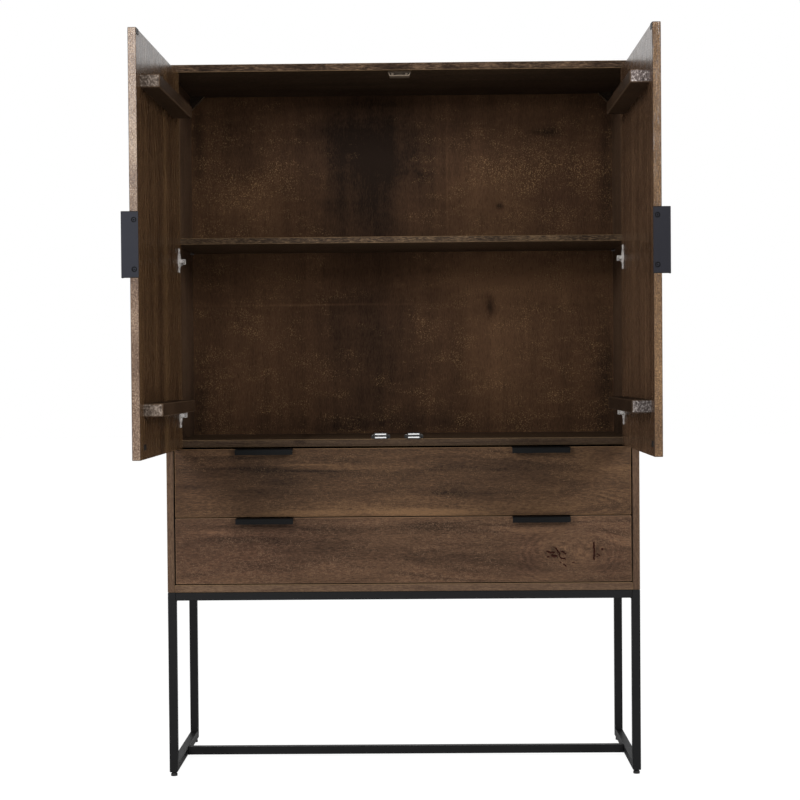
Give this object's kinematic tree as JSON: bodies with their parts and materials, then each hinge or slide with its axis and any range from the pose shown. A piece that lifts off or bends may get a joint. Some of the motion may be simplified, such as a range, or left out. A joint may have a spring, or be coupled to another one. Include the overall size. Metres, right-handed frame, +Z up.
{
  "type": "cupboard",
  "caption": "Tall free-standing cupboard: double doors over full-width drawers, dark stained wood boards on a black square-tube steel underframe.",
  "frame": {"origin": "on the floor, at the centre of the carcass's footprint, 10 mm below the middle of the foot stretcher's underside, which is the nearest face that a claim can name", "axes": "+Z up, -Y towards the room that the doors and drawers open into, +X to the right seen from there"},
  "size_m": [1.1566, 0.9397, 1.732],
  "materials": {
    "frame_steel": "black powder coat, satin",
    "glide_plastic": "black moulded plastic",
    "black_screw": "blackened steel",
    "pull_steel": "black powder coat, satin",
    "plated_steel": "nickel plated",
    "black_plastic": "black moulded plastic",
    "tan_plastic": "brown moulded plastic",
    "door_wood": "walnut stain, satin lacquer",
    "drawer_wood": "walnut stain, satin lacquer",
    "box_wood": "walnut stain, thin lacquer",
    "back_wood": "walnut stain, matte",
    "carcass_wood": "walnut stain, satin lacquer"
  },
  "bodies": {
    "carcass": {"back_panel": "back_wood", "base_panel": "carcass_wood", "bottom_catches": "black_plastic", "catch_poles": "plated_steel", "corner_blocks": "carcass_wood", "divider_panel": "carcass_wood", "foot_rail_left": "frame_steel", "foot_rail_right": "frame_steel", "foot_stretcher": "frame_steel", "frame_screws": "black_screw", "front_leg_left": "frame_steel", "front_leg_right": "frame_steel", "glides": "glide_plastic", "hinge_arms_left": "plated_steel", "hinge_arms_right": "plated_steel", "hinge_plates": "plated_steel", "rear_leg_left": "frame_steel", "rear_leg_right": "frame_steel", "shelf": "carcass_wood", "shelf_pins": "plated_steel", "side_panel_left": "carcass_wood", "side_panel_right": "carcass_wood", "side_rail_left": "frame_steel", "side_rail_right": "frame_steel", "slide_outers": "plated_steel", "top_catch": "tan_plastic", "top_panel": "carcass_wood", "top_rail_front": "frame_steel", "top_rail_rear": "frame_steel"},
    "door_left": {"door_battens_left": "door_wood", "door_panel_left": "door_wood", "door_pull_left": "pull_steel", "door_pull_screws_left": "black_screw", "hinge_cups_left": "plated_steel", "strikes_left": "plated_steel"},
    "hinge_links_left": {"hinge_links_left": "plated_steel"},
    "door_right": {"door_battens_right": "door_wood", "door_panel_right": "door_wood", "door_pull_right": "pull_steel", "door_pull_screws_right": "black_screw", "hinge_cups_right": "plated_steel", "strikes_right": "plated_steel"},
    "hinge_links_right": {"hinge_links_right": "plated_steel"},
    "drawer_upper": {"drawer_back_upper": "box_wood", "drawer_floor_upper": "box_wood", "drawer_front_upper": "drawer_wood", "drawer_pull_screws_upper": "black_screw", "drawer_pulls_upper": "pull_steel", "drawer_sides_upper": "box_wood", "slide_inners_upper": "plated_steel"},
    "slide_runners_upper": {"slide_runners_upper": "plated_steel"},
    "drawer_lower": {"drawer_back_lower": "box_wood", "drawer_floor_lower": "box_wood", "drawer_front_lower": "drawer_wood", "drawer_pull_screws_lower": "black_screw", "drawer_pulls_lower": "pull_steel", "drawer_sides_lower": "box_wood", "slide_inners_lower": "plated_steel"},
    "slide_runners_lower": {"slide_runners_lower": "plated_steel"}
  },
  "joints": [
    {"name": "door_left_swing", "type": "hinge", "parent": "carcass", "child": "door_left", "pos_m": [-0.552, -0.194, 1.2565], "axis": [0, 0, -1], "range_deg": [-91, 14]},
    {"name": "hinge_links_left_fold", "type": "hinge", "parent": "door_left", "child": "hinge_links_left", "pos_m": [-0.54116, -0.20319, 1.2565], "axis": [0, 0, 1], "range_deg": [-61, 10]},
    {"name": "door_right_swing", "type": "hinge", "parent": "carcass", "child": "door_right", "pos_m": [0.552, -0.194, 1.2565], "axis": [0, 0, 1], "range_deg": [-90, 15]},
    {"name": "hinge_links_right_fold", "type": "hinge", "parent": "door_right", "child": "hinge_links_right", "pos_m": [0.541, -0.203, 1.2565], "axis": [0, 0, -1], "range_deg": [-60, 10]},
    {"name": "drawer_upper_slide", "type": "slide", "parent": "carcass", "child": "drawer_upper", "axis": [0, -1, 0], "range_m": [0, 0.28]},
    {"name": "slide_runners_upper_slide", "type": "slide", "parent": "carcass", "child": "slide_runners_upper", "axis": [0, -1, 0], "range_m": [0, 0.14]},
    {"name": "drawer_lower_slide", "type": "slide", "parent": "carcass", "child": "drawer_lower", "axis": [0, -1, 0], "range_m": [0, 0.28]},
    {"name": "slide_runners_lower_slide", "type": "slide", "parent": "carcass", "child": "slide_runners_lower", "axis": [0, -1, 0], "range_m": [0, 0.14]}
  ],
  "couplings": [
    {"joint": "hinge_links_left_fold", "follows": "door_left_swing", "ratio": 0.66667},
    {"joint": "hinge_links_right_fold", "follows": "door_right_swing", "ratio": 0.66667},
    {"joint": "slide_runners_upper_slide", "follows": "drawer_upper_slide", "ratio": 0.5},
    {"joint": "slide_runners_lower_slide", "follows": "drawer_lower_slide", "ratio": 0.5}
  ]
}
